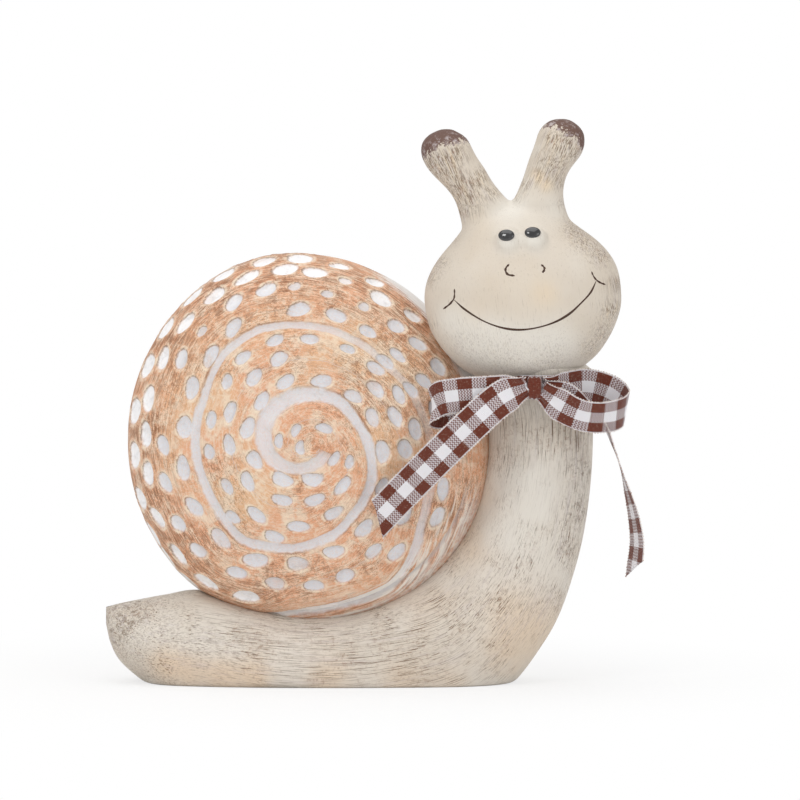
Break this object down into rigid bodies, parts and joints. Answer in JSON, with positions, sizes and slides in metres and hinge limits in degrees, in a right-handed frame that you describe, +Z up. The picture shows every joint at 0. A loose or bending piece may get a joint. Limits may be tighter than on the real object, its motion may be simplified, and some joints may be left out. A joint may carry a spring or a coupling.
{
  "type": "snail figurine",
  "caption": "Hollow ceramic snail standing on its flat foot, shell pressed with a spiral channel and ovals, head turned to the side, with a gingham ribbon bow round its neck.",
  "frame": {"origin": "on the flat underside of the foot, straight below the shell's axis", "axes": "+Z up, -Y the side that the face and the decorated shell look to, +X from the tail towards the head"},
  "size_m": [0.1557, 0.0645, 0.1655],
  "materials": {
    "washed_ceramic": "matt cream wash with brown brush strokes",
    "peach_ceramic": "matt peach paint, brown dry brushing, whitened recesses",
    "black_gloss": "raised glossy black dots",
    "gingham_ribbon": "woven brown and white gingham"
  },
  "bodies": {
    "root": {"body": "washed_ceramic", "shell": "peach_ceramic", "head": "washed_ceramic", "antenna_left": "washed_ceramic", "antenna_right": "washed_ceramic", "eye_left": "washed_ceramic", "eye_right": "washed_ceramic", "pupil_left": "black_gloss", "pupil_right": "black_gloss", "ribbon_band": "gingham_ribbon", "ribbon_knot": "gingham_ribbon", "ribbon_loop_left": "gingham_ribbon", "ribbon_loop_right": "gingham_ribbon", "ribbon_tail_left": "gingham_ribbon", "ribbon_tail_right": "gingham_ribbon"}
  },
  "joints": []
}
